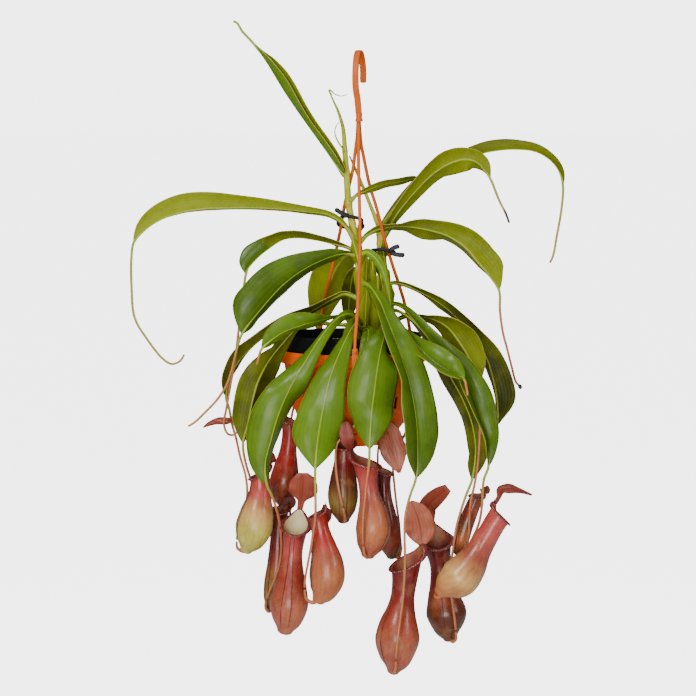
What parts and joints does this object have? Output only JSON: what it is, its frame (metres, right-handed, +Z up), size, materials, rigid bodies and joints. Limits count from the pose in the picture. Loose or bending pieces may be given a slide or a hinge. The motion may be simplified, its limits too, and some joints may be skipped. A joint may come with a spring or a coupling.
{
  "type": "hanging pitcher plant",
  "caption": "Climbing pitcher plant in an orange hanging basket with a one-piece hook hanger; arching leaves end in tendrils that carry hanging pitchers.",
  "frame": {"origin": "underside of the hook's crown, where the whole thing hangs", "axes": "+Z up along the hanger, +Y away from the front, +X to the right seen from the front"},
  "size_m": [0.4345, 0.1967, 0.6391],
  "materials": {
    "basket_plastic": "orange injection-moulded plastic, satin gloss",
    "hanger_plastic": "orange injection-moulded plastic, satin gloss",
    "pot_plastic": "thin black nursery-pot plastic",
    "compost": "bark, moss and perlite compost, loose and damp",
    "stem": "smooth yellow-green vine stem",
    "leaf": "leathery green leaf, glossy above and paler below",
    "pitcher": "waxy pitcher wall, yellow-green bulb to maroon neck",
    "tie": "dark plastic-coated plant tie"
  },
  "bodies": {
    "root": {"basket": "basket_plastic", "nursery_pot": "pot_plastic", "compost": "compost", "hanger": "hanger_plastic", "stem_1": "stem", "stem_2": "stem", "leaf_01": "leaf", "leaf_02": "leaf", "leaf_03": "leaf", "leaf_04": "leaf", "leaf_05": "leaf", "leaf_06": "leaf", "leaf_07": "leaf", "leaf_08": "leaf", "leaf_09": "leaf", "leaf_10": "leaf", "leaf_11": "leaf", "leaf_12": "leaf", "leaf_13": "leaf", "leaf_14": "leaf", "leaf_15": "leaf", "leaf_16": "leaf", "leaf_17": "leaf", "leaf_18": "leaf", "leaf_19": "leaf", "leaf_20": "leaf", "leaf_21": "leaf", "leaf_22": "leaf", "leaf_23": "leaf", "leaf_24": "leaf", "pitcher_01": "pitcher", "pitcher_02": "pitcher", "pitcher_03": "pitcher", "pitcher_04": "pitcher", "pitcher_05": "pitcher", "pitcher_06": "pitcher", "pitcher_07": "pitcher", "pitcher_08": "pitcher", "pitcher_09": "pitcher", "pitcher_10": "pitcher", "pitcher_11": "pitcher", "pitcher_12": "pitcher", "pitcher_13": "pitcher", "tie_left": "tie", "tie_right": "tie"}
  },
  "joints": []
}
